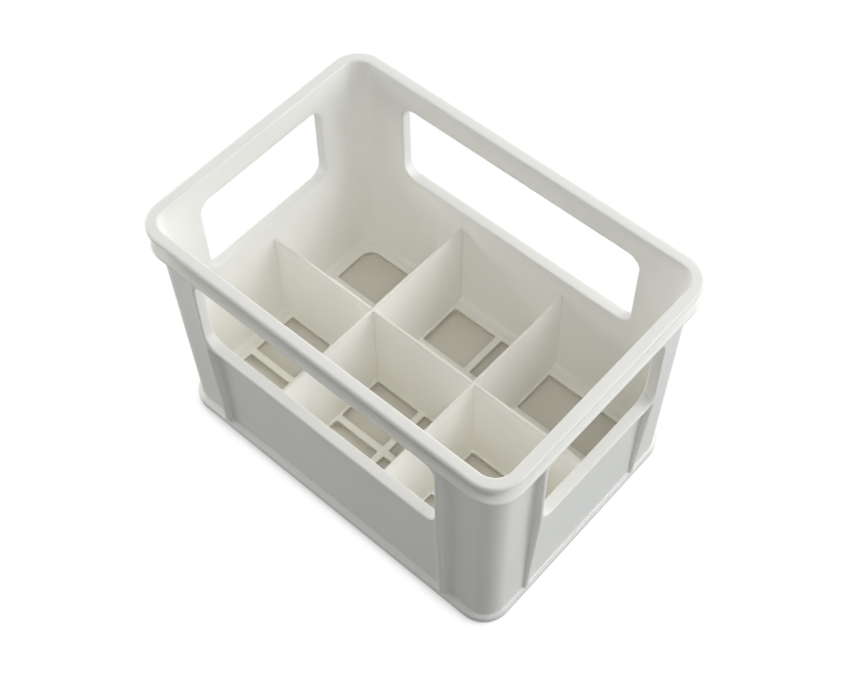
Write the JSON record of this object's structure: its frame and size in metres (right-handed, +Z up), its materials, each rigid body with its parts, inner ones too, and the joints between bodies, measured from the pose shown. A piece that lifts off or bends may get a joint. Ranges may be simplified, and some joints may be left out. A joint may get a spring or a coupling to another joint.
{
  "type": "baby bottle box",
  "caption": "Open moulded bottle crate with hand windows in its walls, a grid floor and a lift-out slotted divider insert that forms bottle cells.",
  "frame": {"origin": "centre of the base at the surface that the crate stands on", "axes": "+X along the length, +Y along the width, +Z up"},
  "size_m": [0.2636, 0.1818, 0.175],
  "materials": {
    "moulded_plastic": "off-white moulded polypropylene with a satin surface"
  },
  "bodies": {
    "crate": {"crate_base": "moulded_plastic", "crate_walls": "moulded_plastic"},
    "long_divider": {"long_divider": "moulded_plastic"},
    "cross_divider_left": {"cross_divider_left": "moulded_plastic"},
    "cross_divider_right": {"cross_divider_right": "moulded_plastic"}
  },
  "joints": [
    {"name": "long_divider_lift", "type": "slide", "parent": "crate", "child": "long_divider", "axis": [0, 0, 1], "range_m": [0, 0.18]},
    {"name": "left_divider_lift", "type": "slide", "parent": "long_divider", "child": "cross_divider_left", "axis": [0, 0, 1], "range_m": [0, 0.18]},
    {"name": "right_divider_lift", "type": "slide", "parent": "long_divider", "child": "cross_divider_right", "axis": [0, 0, 1], "range_m": [0, 0.18]}
  ]
}
